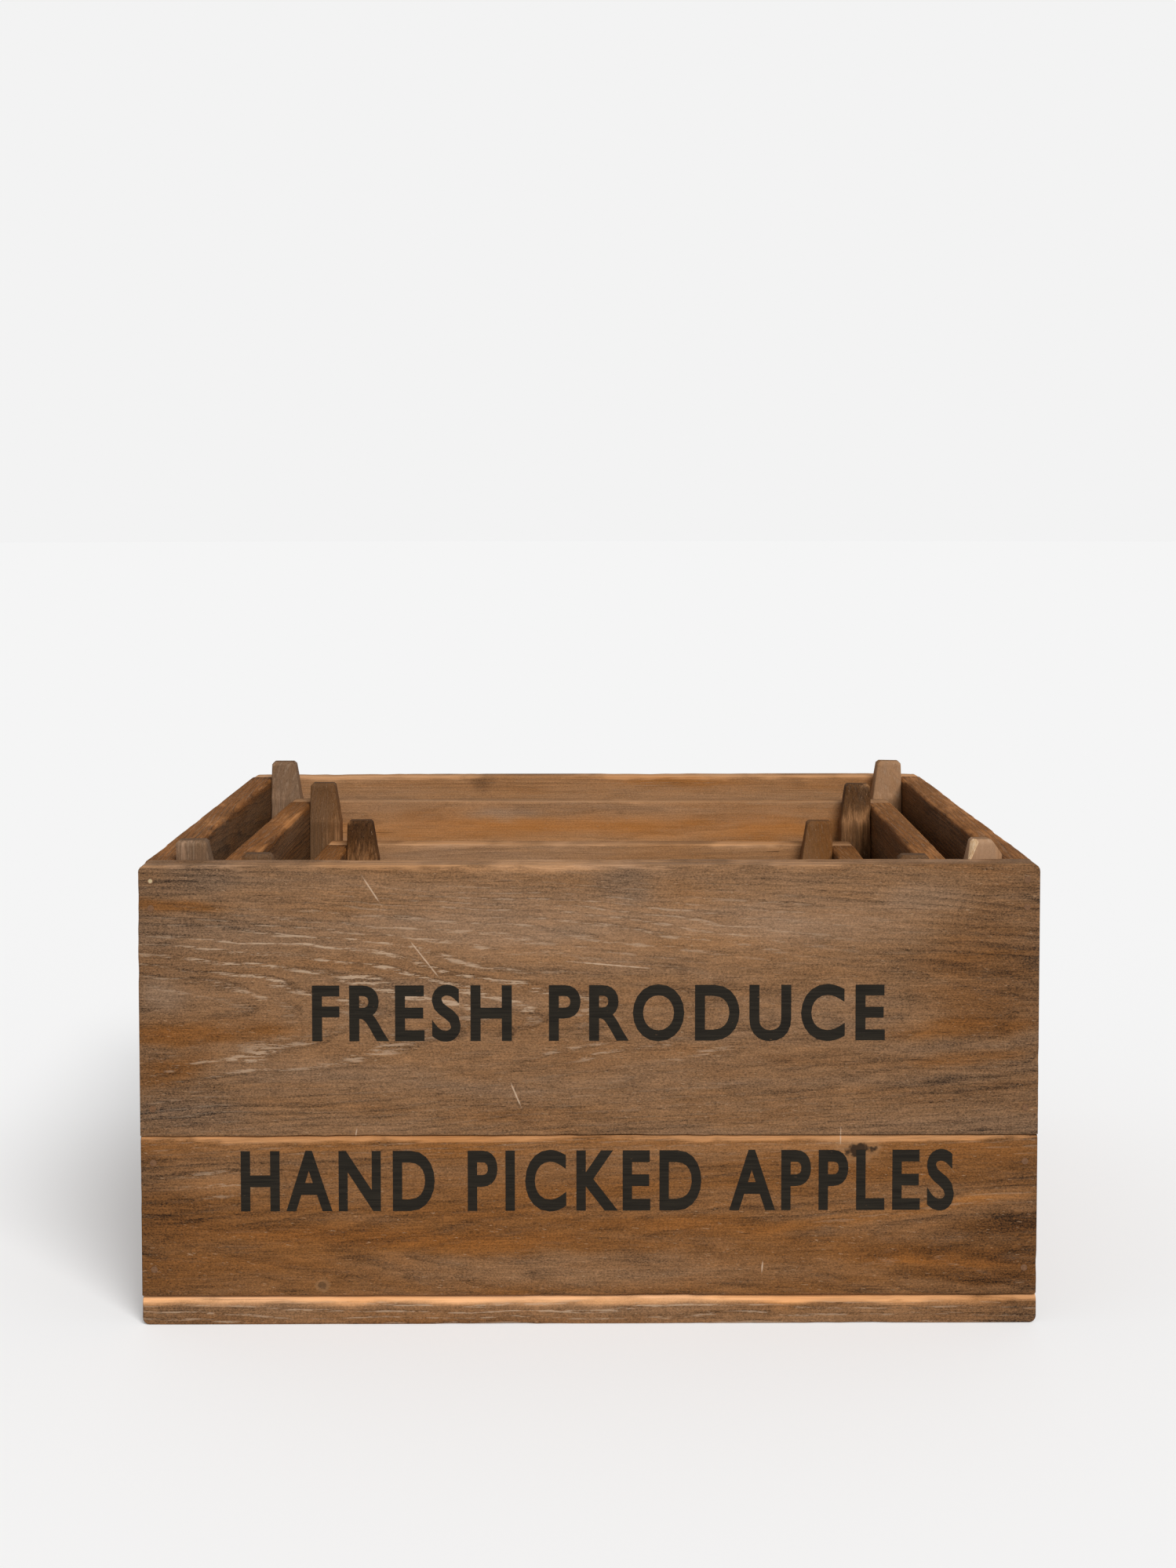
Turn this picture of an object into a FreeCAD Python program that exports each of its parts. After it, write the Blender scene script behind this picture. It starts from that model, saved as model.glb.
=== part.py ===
import FreeCAD, Part

import collections
import math
import os

# A nest of three nailed softwood crates: large, medium and small, each standing on the floor
# of the one around it, between that crate's corner posts.
# Millimetres, +Z up. The origin is the middle of the large crate's underside, +X runs along
# the long side and -Y is the front.

# Overall sizes. Heights run from each crate's own underside to its rim.
LARGE_WIDTH = 460.0
LARGE_DEPTH = 360.0
LARGE_HEIGHT = 238.0
MEDIUM_HEIGHT = 211.0
SMALL_HEIGHT = 173.0

# Height of the joint between lower and upper wall boards, above each crate's underside.
LARGE_SEAM = 98.5
MEDIUM_SEAM = 86.0
SMALL_SEAM = 72.0

# Timber sections. A post's width runs along X and its depth along Y.
WALL = 16.0
BASE = 15.0
POST_WIDTH = 20.0
POST_DEPTH = 16.0

# Corner posts stand above the rim, and their two inner faces taper towards the tip. The front
# pair of the large and of the medium crate is cut lower than the back pair.
LARGE_POST_RISE = 11.5
MEDIUM_POST_RISE = 13.5
SMALL_POST_RISE = 17.0
LARGE_FRONT_DROP = 1.5
MEDIUM_FRONT_DROP = 6.0
SMALL_FRONT_DROP = 0.0
POST_TIP_WIDTH = 16.0
POST_TIP_DEPTH = 10.0
POST_TAPER = 25.0
TIP_EASE = 1.5

# The base is three boards with drying gaps.
BASE_GAP = 3.0
BASE_NAMES = ("front", "middle", "back")

# How the crates nest: a free gap at each end, running play at the posts, and a slight turn
# of the two inner crates within that play, clockwise from above.
SIDE_GAP = 13.0
POST_PLAY = 3.0
NEST_TURN = 1.0

# Hand holes, one slot in each upper end board.
HAND_HOLE_LENGTH = 90.0
HAND_HOLE_HEIGHT = 28.0
HAND_HOLE_DROP = 45.0

# Nails.
NAIL_SHANK_R = 0.9
NAIL_HEAD_R = 1.7
NAIL_HEAD_THICKNESS = 0.9
NAIL_POINT = 3.0
NAIL_PROUD = 0.2
NAIL_SUNK = 0.2
NAIL_GRIP = 19.0
NAIL_COVER = 5.0
NAIL_INSET = 6.5
NAIL_FROM_TOP = 8.0
NAIL_SECOND = 22.0
NAIL_FROM_SEAM = 14.0
NAIL_EDGE = 12.0
NAIL_CLEARANCE = 6.0

Crate = collections.namedtuple(
    "Crate", "name width depth height seam rise front_drop underside turn"
)
Vector = FreeCAD.Vector
UP = Vector(0, 0, 1)
SIDES = (("left", -1), ("right", 1))
ENDS = (("front", -1), ("back", 1))


def block(x0, x1, y0, y1, z0, z1):
    """A plain board between two corners given in any order."""
    low = Vector(min(x0, x1), min(y0, y1), min(z0, z1))
    return Part.makeBox(abs(x1 - x0), abs(y1 - y0), abs(z1 - z0), low)


def nest():
    """The three crates' sizes. An inner crate takes what the posts around it leave free."""
    turn = math.radians(NEST_TURN)
    step_x = 2 * (WALL + SIDE_GAP)
    step_y = 2 * (WALL + POST_DEPTH + POST_PLAY)
    medium_width = LARGE_WIDTH - step_x
    medium_depth = (LARGE_DEPTH - step_y - medium_width * math.sin(turn)) / math.cos(turn)
    large = Crate(
        "large",
        LARGE_WIDTH,
        LARGE_DEPTH,
        LARGE_HEIGHT,
        LARGE_SEAM,
        LARGE_POST_RISE,
        LARGE_FRONT_DROP,
        0.0,
        0.0,
    )
    medium = Crate(
        "medium",
        medium_width,
        medium_depth,
        MEDIUM_HEIGHT,
        MEDIUM_SEAM,
        MEDIUM_POST_RISE,
        MEDIUM_FRONT_DROP,
        BASE,
        -NEST_TURN,
    )
    small = Crate(
        "small",
        medium_width - step_x,
        medium_depth - step_y,
        SMALL_HEIGHT,
        SMALL_SEAM,
        SMALL_POST_RISE,
        SMALL_FRONT_DROP,
        2 * BASE,
        -NEST_TURN,
    )
    return large, medium, small


def rows(crate):
    """Each wall's boards from bottom to top: name, low edge, high edge, nail heights."""
    lower_nails = (BASE + NAIL_FROM_SEAM, crate.seam - NAIL_FROM_SEAM)
    upper_nails = (
        crate.seam + NAIL_FROM_SEAM,
        crate.height - NAIL_SECOND,
        crate.height - NAIL_FROM_TOP,
    )
    return (
        ("lower", BASE, crate.seam, lower_nails),
        ("upper", crate.seam, crate.height, upper_nails),
    )


def hand_hole(crate, side):
    """The cutter for a round-ended slot through an upper end board."""
    radius = HAND_HOLE_HEIGHT / 2
    reach = HAND_HOLE_LENGTH / 2 - radius
    z = crate.height - HAND_HOLE_DROP
    outer = side * (crate.width / 2 + WALL)
    inner = side * (crate.width / 2 - 2 * WALL)
    cutter = block(outer, inner, -reach, reach, z - radius, z + radius)
    for y in (-reach, reach):
        start = Vector(min(outer, inner), y, z)
        end = Part.makeCylinder(radius, abs(outer - inner), start, Vector(1, 0, 0))
        cutter = cutter.fuse(end)
    return cutter


def wall_boards(crate):
    """Front and back boards run the full width and cover the ends of the side boards."""
    half_w = crate.width / 2
    half_d = crate.depth / 2
    inner_d = half_d - WALL
    parts = {}
    for row, low, high, _ in rows(crate):
        for end, sign in ENDS:
            board = block(-half_w, half_w, sign * half_d, sign * inner_d, low, high)
            parts[f"{end}_board_{row}"] = board
        for side, sign in SIDES:
            board = block(sign * half_w, sign * (half_w - WALL), -inner_d, inner_d, low, high)
            if row == "upper":
                board = board.cut(hand_hole(crate, sign))
            parts[f"{side}_board_{row}"] = board
    return parts


def post_section(crate, side, end, size, inset, z):
    """A rectangle that keeps to the corner of the walls, drawn in by inset all round."""
    width, depth = size
    corner_x = side * (crate.width / 2 - WALL - inset)
    corner_y = end * (crate.depth / 2 - WALL - inset)
    far_x = side * (crate.width / 2 - WALL - width + inset)
    far_y = end * (crate.depth / 2 - WALL - depth + inset)
    corners = [(corner_x, corner_y), (far_x, corner_y), (far_x, far_y), (corner_x, far_y)]
    points = [Vector(x, y, z) for x, y in corners]
    return Part.makePolygon(points + points[:1])


def posts(crate):
    """One post in each inside corner, standing on the base."""
    foot = (POST_WIDTH, POST_DEPTH)
    tip = (POST_TIP_WIDTH, POST_TIP_DEPTH)
    parts = {}
    for end, end_sign in ENDS:
        top = crate.height + crate.rise - (crate.front_drop if end == "front" else 0.0)
        for side, side_sign in SIDES:
            sections = [
                post_section(crate, side_sign, end_sign, foot, 0.0, BASE),
                post_section(crate, side_sign, end_sign, foot, 0.0, top - POST_TAPER),
                post_section(crate, side_sign, end_sign, tip, 0.0, top - TIP_EASE),
                post_section(crate, side_sign, end_sign, tip, TIP_EASE, top),
            ]
            parts[f"post_{end}_{side}"] = Part.makeLoft(sections, True, True)
    return parts


def base_spans(crate):
    """Low and high Y of each base board."""
    count = len(BASE_NAMES)
    width = (crate.depth - (count - 1) * BASE_GAP) / count
    starts = [-crate.depth / 2 + n * (width + BASE_GAP) for n in range(count)]
    return [(start, start + width) for start in starts]


def base_boards(crate):
    """Boards under the walls, edges flush with them."""
    half_w = crate.width / 2
    parts = {}
    for name, (low, high) in zip(BASE_NAMES, base_spans(crate)):
        parts[f"base_board_{name}"] = block(-half_w, half_w, low, high, 0.0, BASE)
    return parts


def nail(surface, inward, length, proud=NAIL_PROUD):
    """A pointed nail driven in at a point of a surface, its head standing proud of it."""
    start = surface - inward * proud
    shank_length = length - NAIL_POINT
    tip = start + inward * shank_length
    solid = Part.makeCylinder(NAIL_HEAD_R, NAIL_HEAD_THICKNESS, start, inward)
    solid = solid.fuse(Part.makeCylinder(NAIL_SHANK_R, shank_length, start, inward))
    solid = solid.fuse(Part.makeCone(NAIL_SHANK_R, 0.0, NAIL_POINT, tip, inward))
    return solid.removeSplitter()


def front_and_back_nails(crate):
    """Nails through the long boards into the end grain of the side boards."""
    parts = {}
    x = crate.width / 2 - NAIL_INSET
    for end, sign in ENDS:
        inward = Vector(0, -sign, 0)
        nails = []
        for _, _, _, heights in rows(crate):
            for z in heights:
                for nail_x in (-x, x):
                    surface = Vector(nail_x, sign * crate.depth / 2, z)
                    nails.append(nail(surface, inward, WALL + NAIL_GRIP))
        parts[f"{end}_nails"] = Part.makeCompound(nails)
    return parts


def side_nails(crate):
    """Nails through the side boards into the posts, midway between the other nails' heights."""
    nails = []
    y = crate.depth / 2 - WALL - POST_DEPTH / 2
    length = WALL + POST_WIDTH - NAIL_COVER
    for _, _, _, heights in rows(crate):
        for low, high in zip(heights, heights[1:]):
            for _, sign in SIDES:
                for nail_y in (-y, y):
                    surface = Vector(sign * crate.width / 2, nail_y, (low + high) / 2)
                    nails.append(nail(surface, Vector(-sign, 0, 0), length))
    return {"side_nails": Part.makeCompound(nails)}


def base_nails(crate):
    """Nails from below into the walls, clear of the wall nails. Their heads are sunk a little,
    so that the crate stands on wood."""
    nails = []
    wall_nail_end = crate.depth / 2 - WALL - NAIL_GRIP - NAIL_CLEARANCE
    x = crate.width / 2 - WALL / 2
    y = crate.depth / 2 - WALL / 2
    length = BASE + NAIL_GRIP
    spots = []
    for low, high in base_spans(crate):
        first = max(low + NAIL_EDGE, -wall_nail_end)
        last = min(high - NAIL_EDGE, wall_nail_end)
        spots += [(sign * x, nail_y) for _, sign in SIDES for nail_y in (first, last)]
    for _, sign in ENDS:
        spots += [(nail_x, sign * y) for nail_x in (-crate.width / 4, 0.0, crate.width / 4)]
    for nail_x, nail_y in spots:
        nails.append(nail(Vector(nail_x, nail_y, 0), UP, length, -NAIL_SUNK))
    return {"base_nails": Part.makeCompound(nails)}


def crate_parts(crate):
    """Every piece of one crate, in place in the nest."""
    parts = {}
    makers = (wall_boards, posts, base_boards, front_and_back_nails, side_nails, base_nails)
    for maker in makers:
        parts.update(maker(crate))
    for shape in parts.values():
        shape.rotate(Vector(0, 0, 0), UP, crate.turn)
        shape.translate(Vector(0, 0, crate.underside))
    return parts


os.makedirs("parts", exist_ok=True)
for crate in nest():
    for piece, shape in crate_parts(crate).items():
        shape.exportStep(f"parts/{crate.name}_{piece}.step")
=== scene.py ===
import math
import random
from collections import namedtuple

import bmesh
import bpy
from mathutils import Matrix, Vector, noise


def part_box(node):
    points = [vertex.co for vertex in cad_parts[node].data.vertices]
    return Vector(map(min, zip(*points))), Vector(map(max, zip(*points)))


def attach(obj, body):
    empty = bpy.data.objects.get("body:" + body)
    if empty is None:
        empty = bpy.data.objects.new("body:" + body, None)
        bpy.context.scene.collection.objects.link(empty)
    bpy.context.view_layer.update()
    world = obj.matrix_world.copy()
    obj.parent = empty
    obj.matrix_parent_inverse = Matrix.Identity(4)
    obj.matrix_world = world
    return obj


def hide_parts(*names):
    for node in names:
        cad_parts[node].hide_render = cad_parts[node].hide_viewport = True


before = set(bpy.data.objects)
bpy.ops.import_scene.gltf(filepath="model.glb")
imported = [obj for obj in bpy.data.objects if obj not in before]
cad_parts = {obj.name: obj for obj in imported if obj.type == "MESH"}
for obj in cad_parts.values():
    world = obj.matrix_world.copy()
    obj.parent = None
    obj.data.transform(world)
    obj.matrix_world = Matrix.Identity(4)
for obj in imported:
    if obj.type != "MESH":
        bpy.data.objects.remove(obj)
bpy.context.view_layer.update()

noise.seed_set(5)             # or the wavering of the markings would differ from run to run

# A nest of three stained fir crates, one inside the next. Lengths are metres, given through MM.
MM = 0.001

CRATES = ("large", "medium", "small")
ENDS = ("front", "back")
SIDES = ("left", "right")
ROWS = ("lower", "upper")
BASE_BOARDS = ("front", "middle", "back")
X, Y, Z = 0, 1, 2

# How the timber was worked.
RIM_ROUND = 2.6 * MM          # upper long edges of the wall boards
BASE_ROUND = 4.2 * MM         # outer upper edges of the base boards
CORNER_ROUND = 3.6 * MM       # outer corners of the rim and of the base
PLANED_ARRIS = 0.7 * MM       # edges as the plane left them
POST_ARRIS = 1.1 * MM
ARRIS_SEGMENTS = 4
FLAT = math.radians(1)        # faces that meet at less than this are one face
SHARP = math.radians(60)      # edges sharper than this get an arris
SHADED_SHARP = math.radians(40)   # and sharper than this still look like an edge
WELD = 0.001 * MM
AT_LEVEL = 0.01 * MM          # how near counts as being on a plane
SAWN_FACING = 0.8             # faces that look this much along the grain are sawn ends
MOSTLY = 0.9                  # how much of an edge's length counts as running along an axis

# How it has worn.
WEAR_REACH = 6.0 * MM         # how far from an edge the handling shows
DENT = 0.8 * MM               # deepest dent in an edge
NICK_SHARE = 0.6              # how deep the nicks in it are, for a dent's depth of 1
DENTS_PER_METRE = 16
NICKS_PER_METRE = 110
USUAL_RUB = 0.75              # bare wood all along an edge
DENT_RUB = 0.7                # and how much more or less there is by its dents
NICK_RUB = 0.35               # and nicks
USUAL_WEAR = 0.8              # how far the upper edges are rubbed bare
FOOT_WEAR = 0.25              # and the lower ones
POST_WEAR = 0.6
POST_FOOT_WEAR = 0.2
RIM_TONE = Vector((0.4, 0.08, 0.1))   # what the tops of the end boards add to their tone
INSIDE_SKIN = 3.0 * MM        # how deep the painted light and shade of a wall's inner face reach
CUT_ALONG = 6.0 * MM          # spacing of the points that a board can wear at, along its length
CUT_ACROSS = 14.0 * MM        # and across its width
FACE_CUT_ALONG = 5.0 * MM     # the same on the outer front boards, which carry placed markings
FACE_CUT_ACROSS = 2.5 * MM
TIP_LENGTH = 40 * MM          # the exposed top of a post
TIP_CUT = 3 * MM              # spacing of the points on it
POST_CUT = 20 * MM            # and lower down


# ---------------------------------------------------------------- markings


# A soft-edged marking: its centre, half its length and height, its rise per unit of length, and
# what it adds to the board's warmth (grey to red-brown), shade (dark to pale) and scuffing.
Marking = namedtuple("Marking", "x z half_length half_height rise warmth shade scuffs")

FRONT_UPPER_MARKINGS = (
    Marking(-212, 217, 36, 4, -0.02, 0.50, 0.10, 0.0),     # orange streak at the left end
    Marking(-206, 151, 26, 7, 0.05, 0.45, 0.08, 0.0),      # warm patches left of the lettering
    Marking(-214, 133, 24, 9, 0.15, 0.40, 0.02, 0.0),
    Marking(-172, 151, 26, 5, 0.05, 0.30, 0.04, 0.0),
    Marking(-205, 112, 34, 15, 0.0, -0.20, -0.16, 0.2),    # grey, soaked corner
    Marking(-218, 172, 14, 9, 0.0, -0.30, 0.10, 0.1),
    Marking(-198, 230, 20, 7, 0.0, -0.20, -0.14, 0.0),
    Marking(-130, 185, 110, 26, -0.08, -0.05, 0.03, 1.0),  # scuffed growth lines
    Marking(-60, 172, 80, 14, -0.1, 0.0, 0.02, 0.9),
    Marking(-150, 140, 80, 10, 0.1, 0.0, 0.0, 0.8),
    Marking(0, 208, 150, 22, -0.03, -0.1, 0.27, 0.6),
    Marking(20, 227, 20, 10, 0.0, -0.25, -0.24, 0.0),
    Marking(-30, 236.5, 58, 2.5, 0.0, 0.0, 0.60, 0.0),     # painted highlight along the middle of the rim, over its rubbed edge
    Marking(120, 214, 70, 18, 0.0, -0.15, 0.12, 0.0),
    Marking(172, 220, 26, 7, 0.0, -0.2, 0.16, 0.0),
    Marking(190, 153, 50, 6, 0.06, 0.40, 0.10, 0.0),       # warm bands towards the right end
    Marking(200, 139, 45, 4, 0.06, 0.35, 0.05, 0.0),
    Marking(205, 180, 40, 34, 0.0, 0.25, -0.10, 0.0),
    Marking(181, 126, 9, 3, 0.0, -0.1, -0.24, 0.0),
    Marking(20, 142, 60, 5, 0.02, 0.1, 0.06, 0.8),
    Marking(0, 118, 160, 18, 0.0, 0.0, -0.05, 0.1),
    Marking(165, 120, 90, 22, 0.0, 0.0, -0.07, 0.0),
)

FRONT_LOWER_MARKINGS = (
    Marking(-193, 73, 18, 8, 0.0, 0.0, 0.24, 0.8),         # rubbed patch at the left
    Marking(-120, 46, 150, 6, -0.035, 0.25, 0.0, 0.0),     # red-brown band
    Marking(-60, 41, 60, 7, -0.02, 0.25, 0.06, 0.0),
    Marking(45, 51, 80, 5, 0.0, 0.30, -0.04, 0.0),
    Marking(150, 57, 75, 3.2, 0.15, 0.10, 0.44, 0.2),      # pale streak rising to the right
    Marking(206, 65, 22, 4, 0.12, 0.1, 0.46, 0.2),
    Marking(212, 51, 30, 7, 0.12, 0.2, -0.34, 0.0),
    Marking(0, 29, 150, 10, 0.0, -0.25, 0.02, 0.0),        # greyer foot of the board
    Marking(185, 31, 50, 3, -0.03, 0.3, 0.16, 0.2),
    Marking(185, 37, 60, 3, 0.02, 0.2, -0.26, 0.0),
    Marking(195, 24, 45, 3, -0.03, 0.2, -0.26, 0.0),
    Marking(-215, 55, 20, 14, 0.0, 0.1, -0.14, 0.0),
    Marking(0, 93, 700, 6, 0.0, 0.05, 0.24, 0.2),          # paler band under the joint
    Marking(205, 40, 50, 26, 0.0, 0.05, -0.10, 0.0),
    Marking(200, 90, 34, 6, 0.0, 0.2, 0.10, 0.0),
)

BASE_FRONT_MARKINGS = (
    Marking(-200, 5, 40, 6, 0.0, 0.0, -0.20, 0.5),
    Marking(215, 3, 18, 6, 0.0, 0.0, -0.40, 0.0),
    Marking(0, 6, 240, 6, 0.0, -0.1, -0.08, 0.8),
    Marking(-90, 12.9, 380, 3.0, 0.0, 0.0, 1.9, 0.0),      # upper edge rubbed to bare wood, made brighter with a painted highlight where the light catches it
)

LARGE_BACK_MARKINGS = (
    Marking(-73, 233, 9, 8, 0.0, 0.0, -0.70, 0.0),         # water stain below the rim
    Marking(147, 233, 7, 3, 0.0, 0.0, -0.40, 0.0),
    Marking(60, 234, 60, 4, 0.0, 0.2, 0.10, 0.3),
)

MEDIUM_BACK_MARKINGS = (
    Marking(0, 207, 420, 9, 0.0, 0.25, 0.62, 0.0),         # orange heartwood below grey
    Marking(0, 221, 190, 4, 0.0, -0.05, -0.02, 0.0),
    Marking(20, 219, 4, 2, 0.0, 0.0, -0.50, 0.0),
    Marking(-60, 218, 30, 4, 0.0, -0.3, -0.08, 0.0),
)


FADE_OUT = 1.3                # where a marking ends, for a half length or height of 1
WAVERS_PER_METRE = 60         # the edges of the markings waver
WAVER_ALONG = 6               # by up to so many millimetres
WAVER_UP = 2.5


def soft(distance):
    """1 at the middle of a marking, easing to 0 at its edge."""
    inside = max(0.0, min(1.0, FADE_OUT - distance))
    return inside * inside * (3 - 2 * inside)


def marked_tone(place, warmth, shade, scuffs, markings):
    """The board's warmth, shade and scuffing at one place, with its markings added."""
    tone = Vector((warmth, shade, scuffs))
    drift = noise.noise_vector(place * WAVERS_PER_METRE)
    x = place.x / MM + WAVER_ALONG * drift.x
    z = place.z / MM + WAVER_UP * drift.z
    for m in markings:
        along = (x - m.x) / m.half_length
        across = (z - m.z - m.rise * (x - m.x)) / m.half_height
        tone += soft(math.hypot(along, across)) * Vector((m.warmth, m.shade, m.scuffs))
    return tone


# ---------------------------------------------------------------- woodwork


def crate_turn(crate):
    """How far the crate is turned about the vertical, from its front board's largest face."""
    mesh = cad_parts[f"{crate}_front_board_upper"].data
    face = max(mesh.polygons, key=lambda p: p.area)
    normal = face.normal if face.normal.y < 0 else -face.normal
    return math.atan2(normal.x, -normal.y)


TURNS = {crate: crate_turn(crate) for crate in CRATES}


def squared_copy(node, turn):
    """A copy of the CAD node with its triangles joined into flat faces, square to the axes."""
    bm = bmesh.new()
    bm.from_mesh(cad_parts[node].data)
    bmesh.ops.remove_doubles(bm, verts=bm.verts, dist=WELD)
    bmesh.ops.rotate(bm, verts=bm.verts, cent=(0, 0, 0), matrix=Matrix.Rotation(-turn, 3, "Z"))
    bmesh.ops.dissolve_limit(bm, angle_limit=FLAT, verts=bm.verts, edges=bm.edges)
    return bm


def corners(bm):
    """The lowest and highest corners of the piece."""
    places = [v.co for v in bm.verts]
    low = Vector(tuple(min(p[i] for p in places) for i in (X, Y, Z)))
    high = Vector(tuple(max(p[i] for p in places) for i in (X, Y, Z)))
    return low, high


def runs_along(edge, axis):
    a, b = (v.co for v in edge.verts)
    return abs(a[axis] - b[axis]) > MOSTLY * (a - b).length


def round_over(bm, edges, radius):
    if edges:
        bmesh.ops.bevel(
            bm,
            geom=edges,
            offset=radius,
            offset_type="OFFSET",
            affect="EDGES",
            segments=ARRIS_SEGMENTS,
            profile=0.5,
            material=-1,
            clamp_overlap=True,
        )


def sharp_edges(bm):
    return [e for e in bm.edges if e.is_manifold and e.calc_face_angle() > SHARP]


def cut_across(bm, axis, places):
    """Flat cuts square to an axis, which give the surface points to wear and be marked at."""
    normal = Vector((0, 0, 0))
    normal[axis] = 1
    for place in places:
        geometry = bm.verts[:] + bm.edges[:] + bm.faces[:]
        point = normal * place
        bmesh.ops.bisect_plane(bm, geom=geometry, dist=WELD, plane_co=point, plane_no=normal)


def evenly(low, high, step):
    count = max(1, round((high - low) / step))
    return [low + (high - low) * n / count for n in range(1, count)]


def edge_nearness(place, low, high, axes=(X, Y, Z)):
    """1 on an edge of the piece, falling to 0 at WEAR_REACH from it. With two axes, only the
    edges that run along the third one count."""
    gaps = sorted(min(place[i] - low[i], high[i] - place[i]) for i in axes)
    return max(0.0, 1.0 - gaps[1] / WEAR_REACH)


PIECE_SHIFT = (1.7, 3.1, 0.9)   # how far apart the dents of one seed and the next are drawn


def wear_edges(bm, low, high, seed, rubbed, level, foot_level):
    """Dents the edges unevenly, always inwards, and returns each point's wear. The rubbed axes
    say which edges show bare wood. It goes from foot_level in the lowest third of the piece to
    level in its highest third."""
    shift = Vector([seed * step for step in PIECE_SHIFT])
    middle = (low + high) / 2
    worn = []
    for v in bm.verts:
        near = edge_nearness(v.co, low, high)
        height = (v.co.z - low.z) / (high.z - low.z)
        exposed = foot_level + (level - foot_level) * max(0.0, min(1.0, 3 * height - 1))
        dent = noise.noise(v.co * DENTS_PER_METRE + shift)
        nick = noise.noise(v.co * NICKS_PER_METRE + shift)
        amount = max(0.0, USUAL_RUB + DENT_RUB * dent + NICK_RUB * nick)
        worn.append(amount * edge_nearness(v.co, low, high, rubbed) * exposed)
        inward = Vector((0, 0, 0))
        for i in (X, Y, Z):
            if min(v.co[i] - low[i], high[i] - v.co[i]) < RIM_ROUND:
                inward[i] = math.copysign(1.0, middle[i] - v.co[i])
        on_an_edge = inward.length > 1
        if near > 0 and on_an_edge:
            v.co += inward.normalized() * DENT * max(0.0, dent + NICK_SHARE * nick) * near
    return worn


def store(mesh, name, kind, domain, field, values):
    """Keeps one value per point or face under a name that the materials read."""
    layer = mesh.attributes.new(name, kind, domain)
    flat = [n for value in values for n in value] if field == "vector" else values
    layer.data.foreach_set(field, flat)


# The axes that run along, across and through a piece, by the one its grain follows.
GRAIN_ORDER = {X: (X, Z, Y), Y: (Y, Z, X), Z: (Z, X, Y)}
BASE_ORDER = (X, Y, Z)

# Where the middle of the tree lay: height across the board, depth behind its face, and how much
# deeper it gets per unit of length, which draws the pointed arches of a flat-sawn board.
Pith = namedtuple("Pith", "across depth tilt")

# The same for boards that have no placed figure.
PITH_OFFSET = 70              # millimetres at most from the middle of the board
PITH_DEPTHS = (20, 90)        # millimetres at least and at most
PITH_TILT = 0.05              # the steepest

# A piece of timber before it is carved: its CAD node, its crate and how far that is turned, which
# axes run along, across and through it, its pith and its corners.
Timber = namedtuple("Timber", "node crate turn order pith low high")


def place_piece(bm, timber, materials, worn, tones):
    """Writes the mesh with its grain and wear, and puts it in place of the CAD node."""
    along, across, through = timber.order
    low, high, pith = timber.low, timber.high, timber.pith
    name = f"worn_{timber.node}"
    places = [v.co.copy() for v in bm.verts]
    for face in bm.faces:
        face.smooth = True
    mesh = bpy.data.meshes.new(name)
    bm.to_mesh(mesh)
    bm.free()
    middle = (low + high) / 2
    length = high[along] - low[along]
    grain = [
        (
            p[along],
            p[across] - pith.across,
            p[through] - low[through] + pith.depth + pith.tilt * (p[along] - middle[along]),
        )
        for p in places
    ]
    span = [abs(p[along] - middle[along]) * 2 / length for p in places]
    sawn = [1.0 if abs(f.normal[along]) > SAWN_FACING else 0.0 for f in mesh.polygons]
    store(mesh, "grain", "FLOAT_VECTOR", "POINT", "vector", grain)
    store(mesh, "tone", "FLOAT_VECTOR", "POINT", "vector", tones)
    store(mesh, "span", "FLOAT", "POINT", "value", span)
    store(mesh, "wear", "FLOAT", "POINT", "value", worn)
    store(mesh, "end_grain", "FLOAT", "FACE", "value", sawn)
    for material in materials:
        mesh.materials.append(material)
    mesh.transform(Matrix.Rotation(timber.turn, 4, "Z"))
    mesh.set_sharp_from_angle(angle=SHADED_SHARP)
    piece = bpy.data.objects.new(name, mesh)
    bpy.context.collection.objects.link(piece)
    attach(piece, f"{timber.crate}_crate")
    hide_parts(timber.node)


def random_pith(seed, low, high, order):
    """A likely place in the tree for a board that has no placed figure."""
    draw = random.Random(seed)
    across = order[1]
    centre = (low[across] + high[across]) / 2
    offset = draw.uniform(-PITH_OFFSET, PITH_OFFSET) * MM
    depth = draw.uniform(*PITH_DEPTHS) * MM
    return Pith(centre + offset, depth, draw.uniform(-PITH_TILT, PITH_TILT))


def upper_long_edges(bm, high, along):
    """The upper edges of a board that run along it."""
    top = [e for e in sharp_edges(bm) if min(v.co.z for v in e.verts) > high.z - AT_LEVEL]
    return [e for e in top if runs_along(e, along)]


def end_corners(bm, low, high, level):
    """The short edges through a front or back board, at its two ends and at one level."""
    found = []
    for e in sharp_edges(bm):
        ends = [v.co for v in e.verts]
        at_level = all(abs(p.z - level) < AT_LEVEL for p in ends)
        at_end = all(min(p.x - low.x, high.x - p.x) < AT_LEVEL for p in ends)
        if at_level and at_end and runs_along(e, Y):
            found.append(e)
    return found


def round_board(bm, node, along, low, high):
    """Rounds a board's upper edges and outer corners, and takes the arris off the others."""
    is_base = "base" in node
    if along == X and "upper" in node:
        round_over(bm, end_corners(bm, low, high, high.z), CORNER_ROUND)
    if is_base and "middle" not in node:
        round_over(bm, end_corners(bm, low, high, low.z), CORNER_ROUND)
    round_over(bm, upper_long_edges(bm, high, along), BASE_ROUND if is_base else RIM_ROUND)
    round_over(bm, sharp_edges(bm), PLANED_ARRIS)


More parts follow.
